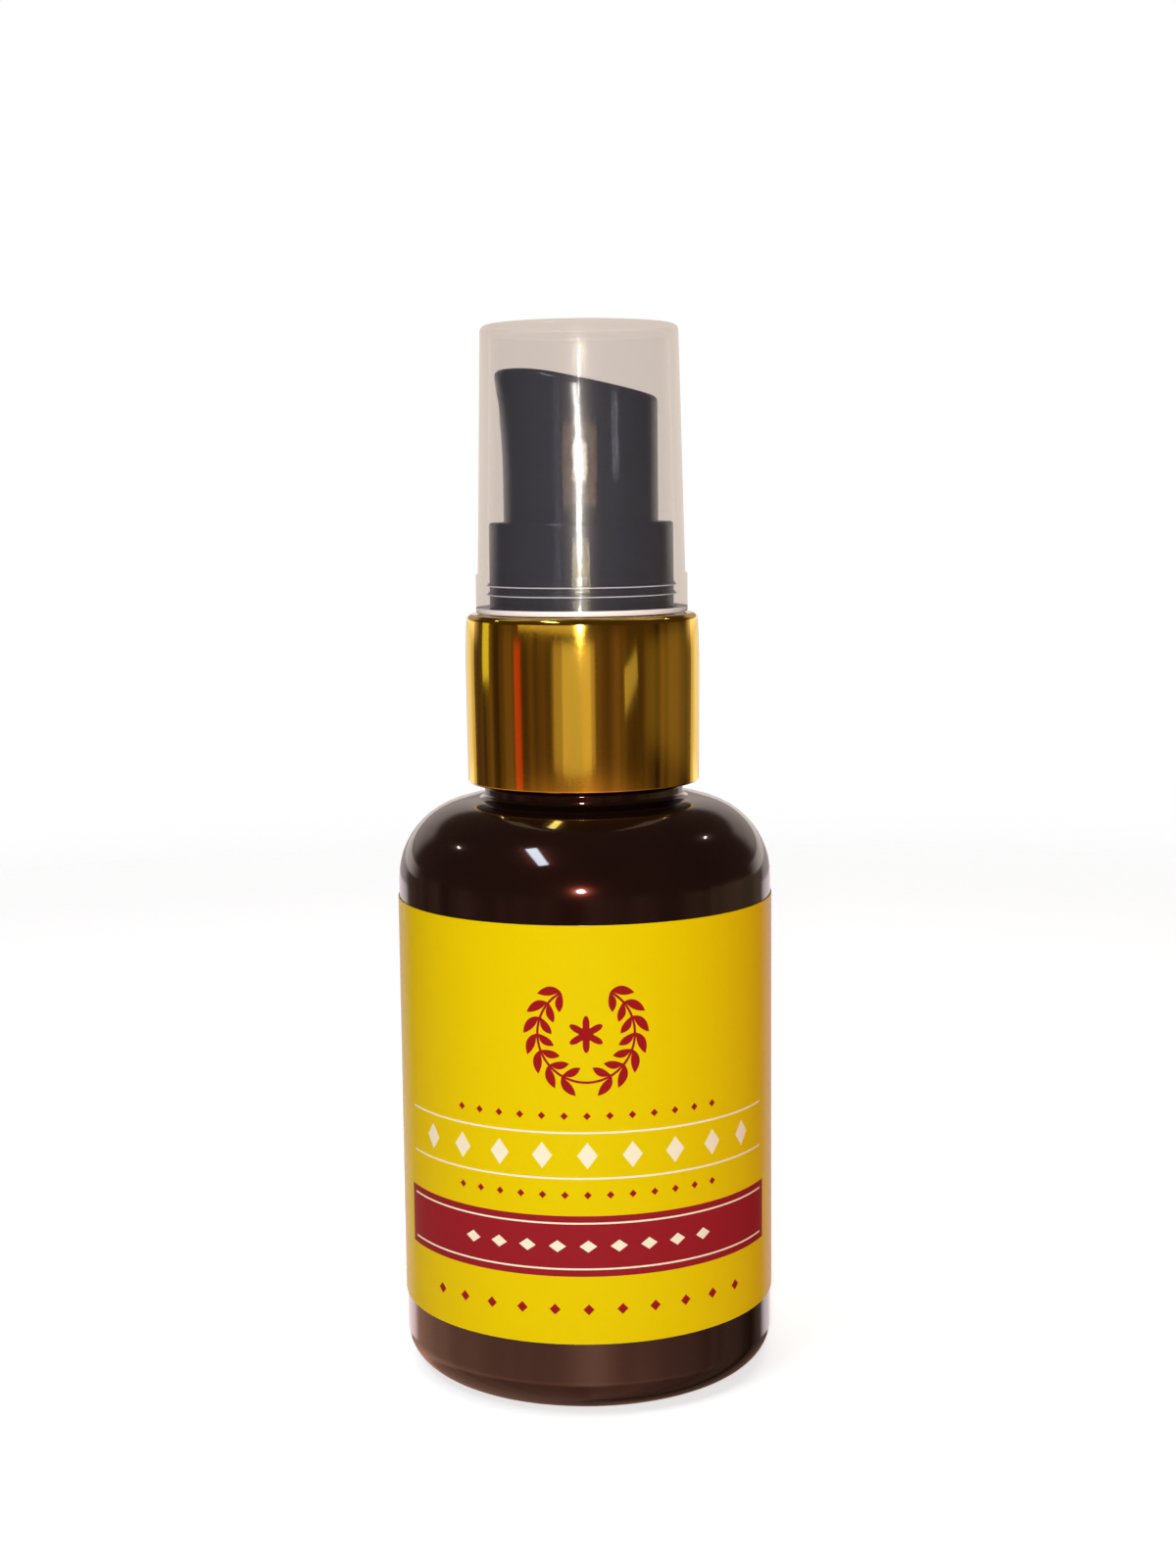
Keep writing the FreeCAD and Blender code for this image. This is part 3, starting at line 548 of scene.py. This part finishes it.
class PUMPBOTTLE_OT_bottle(bpy.types.Operator):
    """Blown bottle with its domed floor, and the thread on its neck"""

    bl_idname = "pump_bottle.bottle"
    bl_label = "Bottle"

    def execute(self, context):
        sizes = context.scene.pump_bottle_sizes
        amber = amber_pet(context.scene.pump_bottle_colours)
        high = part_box("bottle")[1]
        outer = high[0]
        rim = high[2]
        ring_top = rim - sizes.finish_height
        shoulder_top = ring_top - sizes.ring_height
        ring = outer - sizes.shoulder - sizes.shelf
        neck = sizes.finish - sizes.neck_wall
        inner = outer - sizes.wall
        ceiling = shoulder_top - sizes.wall
        fillet = 0.8 * sizes.shelf
        ring_edge = sizes.ring_height / 5
        standing = outer - sizes.heel - sizes.standing_ring
        ball, knee = dome_knee(standing, sizes.push_up)
        gate_foot = sizes.push_up - 0.4 * sizes.gate
        # Short of a full arc, so that a little straight is left at each end
        ease = 0.97
        corner_steps = 14
        bm = lathe([
            (0, gate_foot, 0),
            (sizes.gate, gate_foot, 0.2 * sizes.gate),
            (sizes.gate, sizes.push_up, 0.1 * sizes.gate),
            (knee, sizes.push_up, ease * (ball - sizes.gate * ball / knee)),
            (standing, 0, 0.1 * sizes.standing_ring),
            (outer, 0, sizes.heel),
            (outer, shoulder_top, sizes.shoulder),
            (ring, shoulder_top, fillet),
            (ring, ring_top, ring_edge),
            (sizes.finish, ring_top, ring_edge),
            (sizes.finish, rim, sizes.wall / 2),
            (neck, rim, sizes.wall / 4),
            (neck, ceiling, fillet),
            (inner, ceiling, sizes.shoulder - sizes.wall),
            (inner, sizes.floor, sizes.heel - sizes.wall),
            (standing, sizes.floor, sizes.wall),
            (knee, sizes.push_up + sizes.floor, ease * ball),
            (0, sizes.push_up + sizes.floor, 0),
        ], sizes.steps, corner_steps)
        add_piece("bottle_blown", bm, amber, "bottle", "amber_bottle", "bottle")
        turns = 1.5
        foot = rim - sizes.thread_drop - turns * sizes.thread_pitch
        crest = sizes.finish + sizes.thread_depth
        root = sizes.finish - sizes.neck_wall / 8
        half_root = 0.22 * sizes.thread_pitch
        half_crest = 0.1 * sizes.thread_pitch
        thread = helix([
            (root, 0, foot - half_root),
            (crest, 0, foot - half_crest),
            (crest, 0, foot + half_crest),
            (root, 0, foot + half_root),
        ], [(turns, sizes.thread_pitch)], sizes.steps // 2)
        add_piece("neck_thread", thread, amber, "bottle", "amber_bottle")
        return {"FINISHED"}


class PUMPBOTTLE_OT_label(bpy.types.Operator):
    """Printed film wrapped round the body, with round corners at the bare strip behind"""

    bl_idname = "pump_bottle.label"
    bl_label = "Label"

    def execute(self, context):
        sizes = context.scene.pump_bottle_sizes
        low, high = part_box("label")
        outer = high[0]
        # A hair off the bottle, so that their walls don't lie in one
        film_gap = 0.02 * MM
        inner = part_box("bottle")[1][0] + film_gap
        # Turn of the bare strip behind
        bare = math.radians(40)
        # The film's ends get finer steps, where its corners are round
        end_sweep = 1.1 * sizes.label_corner / outer
        end_steps = 10
        main_sweep = TURN - bare - 2 * end_sweep
        sweeps = ((end_sweep, end_steps), (main_sweep, sizes.steps), (end_sweep, end_steps))
        bm = bmesh.new()
        corners = [(inner, low[2]), (outer, low[2]), (outer, high[2]), (inner, high[2])]
        face = bm.faces.new([bm.verts.new((radius, 0, height)) for radius, height in corners])
        begin = math.pi / 2 + bare / 2
        bmesh.ops.rotate(bm, verts=bm.verts, cent=ORIGIN, matrix=Matrix.Rotation(begin, 3, "Z"))
        geom = bmesh.ops.duplicate(bm, geom=[face])["geom"]
        for sweep, count in sweeps:
            spun = bmesh.ops.spin(bm, geom=geom, cent=ORIGIN, axis=UP, angle=sweep, steps=count)
            geom = spun["geom_last"]
        bmesh.ops.remove_doubles(bm, verts=bm.verts, dist=MERGE)
        middle = (low[2] + high[2]) / 2
        for vert in bm.verts:
            from_end = math.pi - bare / 2 - abs(math.atan2(vert.co.x, -vert.co.y))
            short = max(0.0, sizes.label_corner - from_end * outer)
            drop = sizes.label_corner - math.sqrt(max(0.0, sizes.label_corner ** 2 - short ** 2))
            vert.co.z -= math.copysign(drop, vert.co.z - middle)
        bmesh.ops.recalc_face_normals(bm, faces=bm.faces)
        film = label_film(context.scene.pump_bottle_colours, outer)
        add_piece("label_wrap", bm, film, "bottle", "label_film", "label")
        return {"FINISHED"}


class PUMPBOTTLE_OT_collar(bpy.types.Operator):
    """Gold shell, and the finish of the screw closure under it"""

    bl_idname = "pump_bottle.collar"
    bl_label = "Collar"

    def execute(self, context):
        sizes = context.scene.pump_bottle_sizes
        colours = context.scene.pump_bottle_colours
        low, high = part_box("collar_shell")
        top_radius = high[0]
        foot_radius = top_radius - sizes.shell_flare
        foot_edge = sizes.shell_wall / 3
        ceiling = high[2] - sizes.shell_wall
        crown_foot = high[2] - sizes.shell_crown
        crown_lean = math.radians(3.2)
        crown_inset = sizes.shell_crown * math.tan(crown_lean)
        # Radius of the wide arc between the straight wall and the leaning crown
        crown_arc = 0.7 * sizes.shell_crown / math.tan(crown_lean / 2)
        bm = lathe([
            (foot_radius - sizes.shell_wall, low[2], foot_edge),
            (foot_radius, low[2], sizes.shell_foot),
            (top_radius, crown_foot, crown_arc),
            (top_radius - crown_inset, high[2], sizes.shell_edge),
            (sizes.shell_hole, high[2], foot_edge),
            (sizes.shell_hole, ceiling, 0),
            (top_radius - sizes.shell_wall, ceiling, sizes.shell_edge - sizes.shell_wall),
        ], sizes.steps)
        gold = gold_aluminium(colours, top_radius)
        add_piece("collar_gold", bm, gold, "closure", "gold_metal", "collar_shell")
        dress("closure", moulded("black_polypropylene_cap", colours.black, 0.3, 0.45, 0.6, 0.01))
        return {"FINISHED"}


class PUMPBOTTLE_OT_pump_head(bpy.types.Operator):
    """Gloss black ring and push button"""

    bl_idname = "pump_bottle.pump_head"
    bl_label = "Pump head"

    def execute(self, context):
        colours = context.scene.pump_bottle_colours
        black = moulded("gloss_black_polypropylene", colours.black, 0.14, 0.21, 0.5, 0.006)
        dress("chaplet", black)
        dress("actuator", black)
        return {"FINISHED"}


class PUMPBOTTLE_OT_overcap(bpy.types.Operator):
    """Clear pull-off cap, with a light frosted tone on its mouth and its snap grooves that partly paints
    highlight lines
    """

    bl_idname = "pump_bottle.overcap"
    bl_label = "Overcap"

    def execute(self, context):
        sizes = context.scene.pump_bottle_sizes
        low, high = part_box("overcap")
        band_radius = high[0]
        outer = band_radius - sizes.cap_step
        inner = outer - sizes.cap_wall
        foot, top = low[2], high[2]
        lean = math.tan(sizes.cap_draft)
        ceiling = top - sizes.cap_wall
        foot_edge = 0.2 * sizes.cap_wall
        # Bands that get the light frosted finish: at the mouth a dull moulded edge whose light tone also
        # paints the bright line along the cap's edge, and over the two snap grooves a light tone that
        # paints thin highlight lines
        dull_top = foot + sizes.cap_dull
        frosted_and_highlight_bands = [(foot, dull_top)]
        grooves = []
        for height in (foot + sizes.cap_groove_low, foot + sizes.cap_groove_high):
            frosted_and_highlight_bands.append((height - sizes.cap_groove, height + sizes.cap_groove))
            for rise, depth in ((-1, 0), (0, 1), (1, 0)):
                level = height + rise * sizes.cap_groove
                grooves.append((inner - lean * (level - foot) + depth * sizes.cap_groove, level, 0))
        bm = lathe([
            (0, top, 0),
            (outer - lean * (top - foot), top, sizes.cap_edge),
            (outer - lean * sizes.cap_band, foot + sizes.cap_band, 0),
            (band_radius, foot + sizes.cap_band, sizes.cap_step / 2),
            (band_radius, dull_top, 0),
            (band_radius, foot, foot_edge),
            (inner, foot, foot_edge),
            *grooves,
            (inner - lean * (ceiling - foot), ceiling, sizes.cap_edge / 2),
            (0, ceiling, 0),
        ], sizes.steps)
        # Painted highlight: faces in those bands take the light frosted material
        for face in bm.faces:
            level = face.calc_center_median().z
            if any(start < level < stop for start, stop in frosted_and_highlight_bands):
                face.material_index = 1
        colours = context.scene.pump_bottle_colours
        clear = clear_polypropylene(colours)
        cap = add_piece("overcap_clear", bm, clear, "overcap", "clear_plastic", "overcap")
        # Frosted finish: partly the mouth's own dull edge, partly painted highlight lines at the mouth
        # and the snap grooves
        dull = moulded("frosted_polypropylene", colours.frosted, 0.4, 0.55, 0.3, 0.01, clear=0.2)
        cap.data.materials.append(dull)
        return {"FINISHED"}


class PUMPBOTTLE_OT_spring(bpy.types.Operator):
    """Return spring, wound as one coil at a single length; the real spring shortens with the stroke"""

    bl_idname = "pump_bottle.spring"
    bl_label = "Return spring"

    def execute(self, context):
        sizes = context.scene.pump_bottle_sizes
        low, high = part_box("return_spring")
        wire = sizes.spring_wire / 2
        mean = high[0] - wire
        turns = 7
        foot = low[2] + wire
        middle_turns = turns - 2
        pitch = (high[2] - low[2] - 2 * wire - 2 * sizes.spring_end_pitch) / middle_turns
        sides = 12
        turn_steps = 36
        bearings = [TURN * side / sides for side in range(sides)]
        section = [(mean + wire * math.cos(turn), 0, foot + wire * math.sin(turn)) for turn in bearings]
        end_run = (1, sizes.spring_end_pitch)
        bm = helix(section, [end_run, (middle_turns, pitch), end_run], turn_steps)
        steel = bare_steel("drawn_spring_steel", context.scene.pump_bottle_colours.steel, 0.25, 0.4, 0.3)
        coil = add_piece("return_coil", bm, steel, "pump", "spring_steel", "return_spring")
        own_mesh(coil)
        return {"FINISHED"}


class PUMPBOTTLE_OT_works(bpy.types.Operator):
    """Finishes of the pump's inner pieces"""

    bl_idname = "pump_bottle.works"
    bl_label = "Inner works"

    def execute(self, context):
        colours = context.scene.pump_bottle_colours
        # Nodes, and what their moulded plastic is made with
        finishes = (
            (("stem_guide", "stem", "poppet"),
             ("white_polypropylene", colours.white, 0.35, 0.5, 0.7, 0.01)),
            (("gasket",), ("foamed_polyethylene", colours.white, 0.55, 0.75, 0.25, 0.03)),
            (("pump_housing",), ("natural_polypropylene", colours.natural, 0.3, 0.45, 0.8, 0.01, 0.3)),
            (("piston",), ("soft_polyethylene", colours.natural, 0.45, 0.6, 0.5, 0.01)),
            (("dip_tube",), ("polyethylene_tube", colours.natural, 0.3, 0.42, 1.2, 0.01, 0.4)),
        )
        for nodes, finish in finishes:
            material = moulded(*finish)
            for node in nodes:
                dress(node, material)
        dress("check_ball", bare_steel("polished_ball_steel", colours.steel, 0.04, 0.09, 0.8))
        return {"FINISHED"}


def aim(place, target, roll):
    """Matrix of a light or card at a place that faces a target."""
    way = (target - place).to_track_quat("-Z", "Y").to_matrix().to_4x4()
    return Matrix.Translation(place) @ way @ Matrix.Rotation(roll, 4, "Z")


def link_light(source, piece, state):
    """Keeps a light to one piece (INCLUDE) or off it (EXCLUDE)."""
    linked = bpy.data.collections.new(source.name)
    linked.objects.link(bpy.data.objects[piece])
    linked.collection_objects[0].light_linking.link_state = state
    source.light_linking.receiver_collection = linked


class PUMPBOTTLE_OT_stage(bpy.types.Operator):
    """Camera, pale floor, room and soft lights"""

    bl_idname = "pump_bottle.stage"
    bl_label = "Stage"

    def execute(self, context):
        scene = context.scene
        stage = scene.pump_bottle_stage
        scene.view_settings.view_transform = "Standard"

        lens = bpy.data.cameras.new("camera")
        lens.sensor_fit = "VERTICAL"
        lens.sensor_height = stage.sensor
        lens.lens = stage.lens
        lens.clip_start = 10 * MM
        camera = bpy.data.objects.new("camera", lens)
        tilt = Matrix.Rotation(math.pi / 2 - stage.pitch, 4, "X")
        lean = Matrix.Rotation(-stage.roll, 4, "Z")
        camera.matrix_world = Matrix.Translation(stage.camera_place) @ tilt @ lean
        scene.collection.objects.link(camera)
        scene.camera = camera

        self.add_floor(scene, stage)
        self.add_room(scene, stage)
        self.add_lights(scene)
        return {"FINISHED"}

    def add_floor(self, scene, stage):
        """Pale disc that fades out at its edge."""
        bm = bmesh.new()
        bmesh.ops.create_circle(bm, cap_ends=True, segments=96, radius=stage.floor_radius)
        mesh = bpy.data.meshes.new("floor")
        bm.to_mesh(mesh)
        bm.free()
        material, tree, place = new_material("matt_white_paper")
        reach = add_node(tree, "VectorMath", {0: place}, out="Value", operation="LENGTH")
        fade = add_node(tree, "MapRange", {
            "Value": reach,
            "From Min": 0.45 * stage.floor_radius,
            "From Max": stage.floor_radius,
            "To Min": 1.0,
            "To Max": 0.0,
        }, interpolation_type="SMOOTHSTEP")
        paper = add_node(tree, "BsdfPrincipled", {
            "Base Color": (0.9, 0.9, 0.9, 1.0),
            "Roughness": 0.9,
            "Specular IOR Level": 0.1,
            "Emission Color": (1.0, 1.0, 1.0, 1.0),
            "Emission Strength": 0.63,
            "Alpha": fade,
        })
        add_node(tree, "OutputMaterial", {"Surface": paper})
        mesh.materials.append(material)
        floor = bpy.data.objects.new("floor", mesh)
        floor.visible_glossy = False
        scene.collection.objects.link(floor)

    def add_room(self, scene, stage):
        """Pale backdrop for the camera; for light and reflections, dim in front and bright behind."""
        world = bpy.data.worlds.new("room")
        world.use_nodes = True
        tree = world.node_tree
        tree.nodes.clear()
        way = add_node(tree, "TexCoord", out="Generated")
        axes = add_node(tree, "SeparateXYZ", {0: way}).node.outputs
        # Upright streaks of light and dark at eye level and below, as a furnished room gives
        front = add_node(tree, "Math", {0: axes["Y"], 1: -1.0}, operation="MULTIPLY")
        turn = add_node(tree, "Math", {0: axes["X"], 1: front}, operation="ARCTAN2")
        streaks = add_node(tree, "TexNoise", {"W": turn, "Scale": 2.6, "Detail": 2.0},
                           noise_dimensions="1D")
        streaks = add_node(tree, "MapRange", {
            "Value": streaks,
            "From Min": 0.35,
            "From Max": 0.65,
            "To Min": 0.15,
            "To Max": 1.7,
        })
        level = add_node(tree, "MapRange", {
            "Value": axes["Z"],
            "From Min": 0.08,
            "From Max": -0.02,
        }, interpolation_type="SMOOTHSTEP")
        streaks = add_node(tree, "Mix", {"Factor": level, "A": 0.6, "B": streaks})
        around = add_node(tree, "VectorMath", {0: stage.room, "Scale": streaks},
                          operation="SCALE")
        # Soft lit surfaces: turn from the front, half width and softness in degrees; height, half height
        # and softness as the sine of the angle from level; colour and strength
        glows = (
            (100, 28, 14, -0.09, 0.06, 0.04, "#FFE4A8", 0.12),
            (180, 34, 9, -0.09, 0.04, 0.015, "#F6ECF2", 0.4),
            (180, 34, 9, -0.26, 0.11, 0.02, "#F6ECF2", 0.85),
            (180, 40, 20, 0.03, 0.05, 0.03, "#FFF4EC", 0.8),
            (180, 36, 14, 0.26, 0.10, 0.10, "#FFF0EA", 0.4),
            (-50, 50, 120, -0.40, 0.10, 0.10, "#FFBFA0", 0.65),
            (-50, 50, 120, -0.75, 0.20, 0.20, "#FFBFA0", 0.45),
            (0, 0, 24, -0.42, 0.10, 0.12, "#FFCCA8", 0.7),
        )
        for bearing, half, soft, height, half_rise, soft_rise, code, strength in glows:
            centre = math.radians(bearing)
            off = add_node(tree, "Math", {0: turn, 1: centre}, operation="SUBTRACT")
            off = add_node(tree, "Math", {0: off, 1: math.pi, 2: -math.pi}, operation="WRAP")
            off = add_node(tree, "Math", {0: off}, operation="ABSOLUTE")
            aside = add_node(tree, "MapRange", {
                "Value": off,
                "From Min": math.radians(half + soft),
                "From Max": math.radians(half),
                "To Max": strength,
            }, interpolation_type="SMOOTHSTEP")
            lift = add_node(tree, "Math", {0: axes["Z"], 1: height}, operation="SUBTRACT")
            lift = add_node(tree, "Math", {0: lift}, operation="ABSOLUTE")
            above = add_node(tree, "MapRange", {
                "Value": lift,
                "From Min": half_rise + soft_rise,
                "From Max": half_rise,
            }, interpolation_type="SMOOTHSTEP")
            share = add_node(tree, "Math", {0: aside, 1: above}, operation="MULTIPLY")
            glow = add_node(tree, "VectorMath", {0: linear(code), "Scale": share},
                            operation="SCALE")
            around = add_node(tree, "VectorMath", {0: around, 1: glow}, operation="ADD")
        # The camera sees the pale backdrop, warmed where it looks through the clear cap: at the cap's
        # edge it crosses two faces and a long stretch of wall, and further in the four faces of two walls
        paths = add_node(tree, "LightPath").node.outputs
        faces = paths["Transparent Depth"]
        crossed = add_node(tree, "MapRange", {
            "Value": faces,
            "From Min": 1.0,
            "From Max": 2.0,
        })
        long_way = add_node(tree, "MapRange", {
            "Value": faces,
            "From Min": 2.0,
            "From Max": 4.0,
            "To Min": 0.84,
            "To Max": 1.0,
        })
        warmed = add_node(tree, "VectorMath", {0: stage.through_cap, "Scale": long_way},
                          operation="SCALE")
        pale = add_node(tree, "Mix", {0: crossed, 6: tone(stage.backdrop), 7: warmed}, out=2,
                        data_type="RGBA")
        shade = add_node(tree, "Mix", {0: paths["Is Camera Ray"], 6: around, 7: pale}, out=2,
                         data_type="RGBA")
        light = add_node(tree, "Background", {"Color": shade, "Strength": 1.0})
        add_node(tree, "OutputWorld", {"Surface": light})
        scene.world = world

    def add_lights(self, scene):
        """Lights for all, fills for the label, strips for the clear cap and cards for the gold shell.

        Each has a name, place and aim, width and height in mm, turn in degrees, watts and colour.
        """
        kept_to = {
            None: (
                ("lamp", (-10, -262, 98), (0, 0, 60), (18, 18), 0, 0.25, "#FFFAF4"),
                ("window", (-190, -210, 450), (0, 0, 55), (48, 226), 41, 0.55, "#DCF0FF"),
                ("left_pane", (-349, 107, 318), (0, 0, 55), (24, 8), 0, 0.015, "#FFFFFF"),
                ("right_pane", (305, 151, 349), (0, 0, 55), (24, 8), 0, 0.015, "#FFFFFF"),
                ("overhead", (0, 60, 420), (0, 0, 0), (420, 420), 0, 0.75, "#FFFFFF"),
            ),
            "label_wrap": (
                ("front_fill", (-20, -420, 120), (0, 0, 30), (160, 160), 0, 0.42, "#FCFFF0"),
                ("left_fill", (-380, 30, 100), (0, 0, 30), (200, 260), 0, 0.14, "#FF4808"),
                ("right_fill", (380, 30, 100), (0, 0, 30), (200, 260), 0, 0.32, "#FF4808"),
            ),
            "overcap_clear": (
                ("strip", (-4, -262, 114), (0, 0, 92), (6, 84), 0, 0.155, "#FFFAF4"),
                ("strip_left", (-115, -235, 104), (0, 0, 92), (30, 80), 0, 0.016, "#DCE6FF"),
                ("strip_right", (172, -198, 126), (0, 0, 100), (14, 24), 0, 0.02, "#F0F4FF"),
                ("flare_core", (-4, -262, 120), (0, 0, 92), (70, 12), 0, 0.2, "#FFF4E8"),
                ("flare_wide", (-4, -263, 119), (0, 0, 92), (180, 26), 0, 0.14, "#FFCFA8"),
                ("flare_low", (-2, -262, 88), (0, 0, 84), (90, 14), 0, 0.1, "#FFE9B0"),
            ),
            "collar_gold": (
                ("card_core", (-43, -420, 22), (0, 0, 68), (204, 105), 0, 0.02, "#FFF2D0"),
                ("card_middle", (-62, -421, 22), (0, 0, 68), (303, 105), 0, 0.02, "#FFF2D0"),
                ("card_wide", (-66, -422, 22), (0, 0, 68), (330, 105), 0, 0.014, "#FFE9C0"),
                ("card_top", (0, 70, 320), (0, 0, 77), (500, 140), 0, 0.1, "#FFFFFF"),
                ("card_crown", (-241, -344, 102), (0, 0, 76), (485, 30), 0, 0.03, "#FFEFC8"),
                ("card_red", (-383, -172, 14), (0, 0, 68), (54, 114), 0, 0.0085, "#FF3A06"),
                ("card_left", (-397, 137, 72), (0, 0, 68), (80, 76), 0, 0.015, "#F3FF7C"),
                ("card_right", (309, -284, 39), (0, 0, 68), (100, 34), 12, 0.0045, "#FFF4DC"),
                ("card_back_left", (-215, 361, 30), (0, 0, 68), (250, 110), 0, 0.05, "#FFF0A0"),
                ("card_back_right", (215, 361, 30), (0, 0, 68), (250, 110), 0, 0.05, "#FFF0A0"),
                ("card_low", (0, -300, -120), (0, 0, 61), (500, 60), 0, 0.1, "#FF6A20"),
            ),
        }
        # Lights that no gloss shows
        unseen = ("overhead", "front_fill", "left_fill", "right_fill")
        for piece, lights in kept_to.items():
            for name, place, target, size, roll, power, code in lights:
                light = bpy.data.lights.new(name, "AREA")
                light.shape = "DISK" if size[0] == size[1] else "RECTANGLE"
                light.size, light.size_y = (side * MM for side in size)
                light.energy = power
                light.color = linear(code)
                lamp = bpy.data.objects.new(name, light)
                lamp.matrix_world = aim(Vector(place) * MM, Vector(target) * MM, math.radians(roll))
                lamp.visible_camera = False
                lamp.visible_glossy = lamp.visible_transmission = name not in unseen
                scene.collection.objects.link(lamp)
                if piece:
                    link_light(lamp, piece, "INCLUDE")
        # Light from above and below would flatten the label, which darkens from its front to its sides
        for name in ("overhead", "floor"):
            link_light(bpy.data.objects[name], "label_wrap", "EXCLUDE")


class PUMPBOTTLE_PT_panel(bpy.types.Panel):
    """Lists the pieces and their sizes and colours"""

    bl_idname = "PUMPBOTTLE_PT_panel"
    bl_label = "Pump oil bottle"
    bl_space_type = "VIEW_3D"
    bl_region_type = "UI"
    bl_category = "Pump bottle"

    def draw(self, context):
        for operator in OPERATORS:
            self.layout.operator(operator.bl_idname)
        for group in GROUPS:
            box = self.layout.box()
            settings = getattr(context.scene, group)
            for name in GROUPS[group].__annotations__:
                box.prop(settings, name)


GROUPS = {
    "pump_bottle_sizes": PumpBottleSizes,
    "pump_bottle_colours": PumpBottleColours,
    "pump_bottle_stage": PumpBottleStage,
}
OPERATORS = (
    PUMPBOTTLE_OT_bottle,
    PUMPBOTTLE_OT_label,
    PUMPBOTTLE_OT_collar,
    PUMPBOTTLE_OT_pump_head,
    PUMPBOTTLE_OT_overcap,
    PUMPBOTTLE_OT_spring,
    PUMPBOTTLE_OT_works,
    PUMPBOTTLE_OT_stage,
)


def register():
    """Registers the property groups, operators and panel."""
    for name, group in GROUPS.items():
        bpy.utils.register_class(group)
        setattr(bpy.types.Scene, name, PointerProperty(type=group))
    for operator in OPERATORS:
        bpy.utils.register_class(operator)
    bpy.utils.register_class(PUMPBOTTLE_PT_panel)


def unregister():
    """Takes them back in the reverse order."""
    bpy.utils.unregister_class(PUMPBOTTLE_PT_panel)
    for operator in reversed(OPERATORS):
        bpy.utils.unregister_class(operator)
    for name, group in reversed(GROUPS.items()):
        delattr(bpy.types.Scene, name)
        bpy.utils.unregister_class(group)


def main():
    """Builds every piece and the stage."""
    register()
    for operator in OPERATORS:
        group, name = operator.bl_idname.split(".")
        getattr(getattr(bpy.ops, group), name)()


if __name__ == "__main__":
    main()
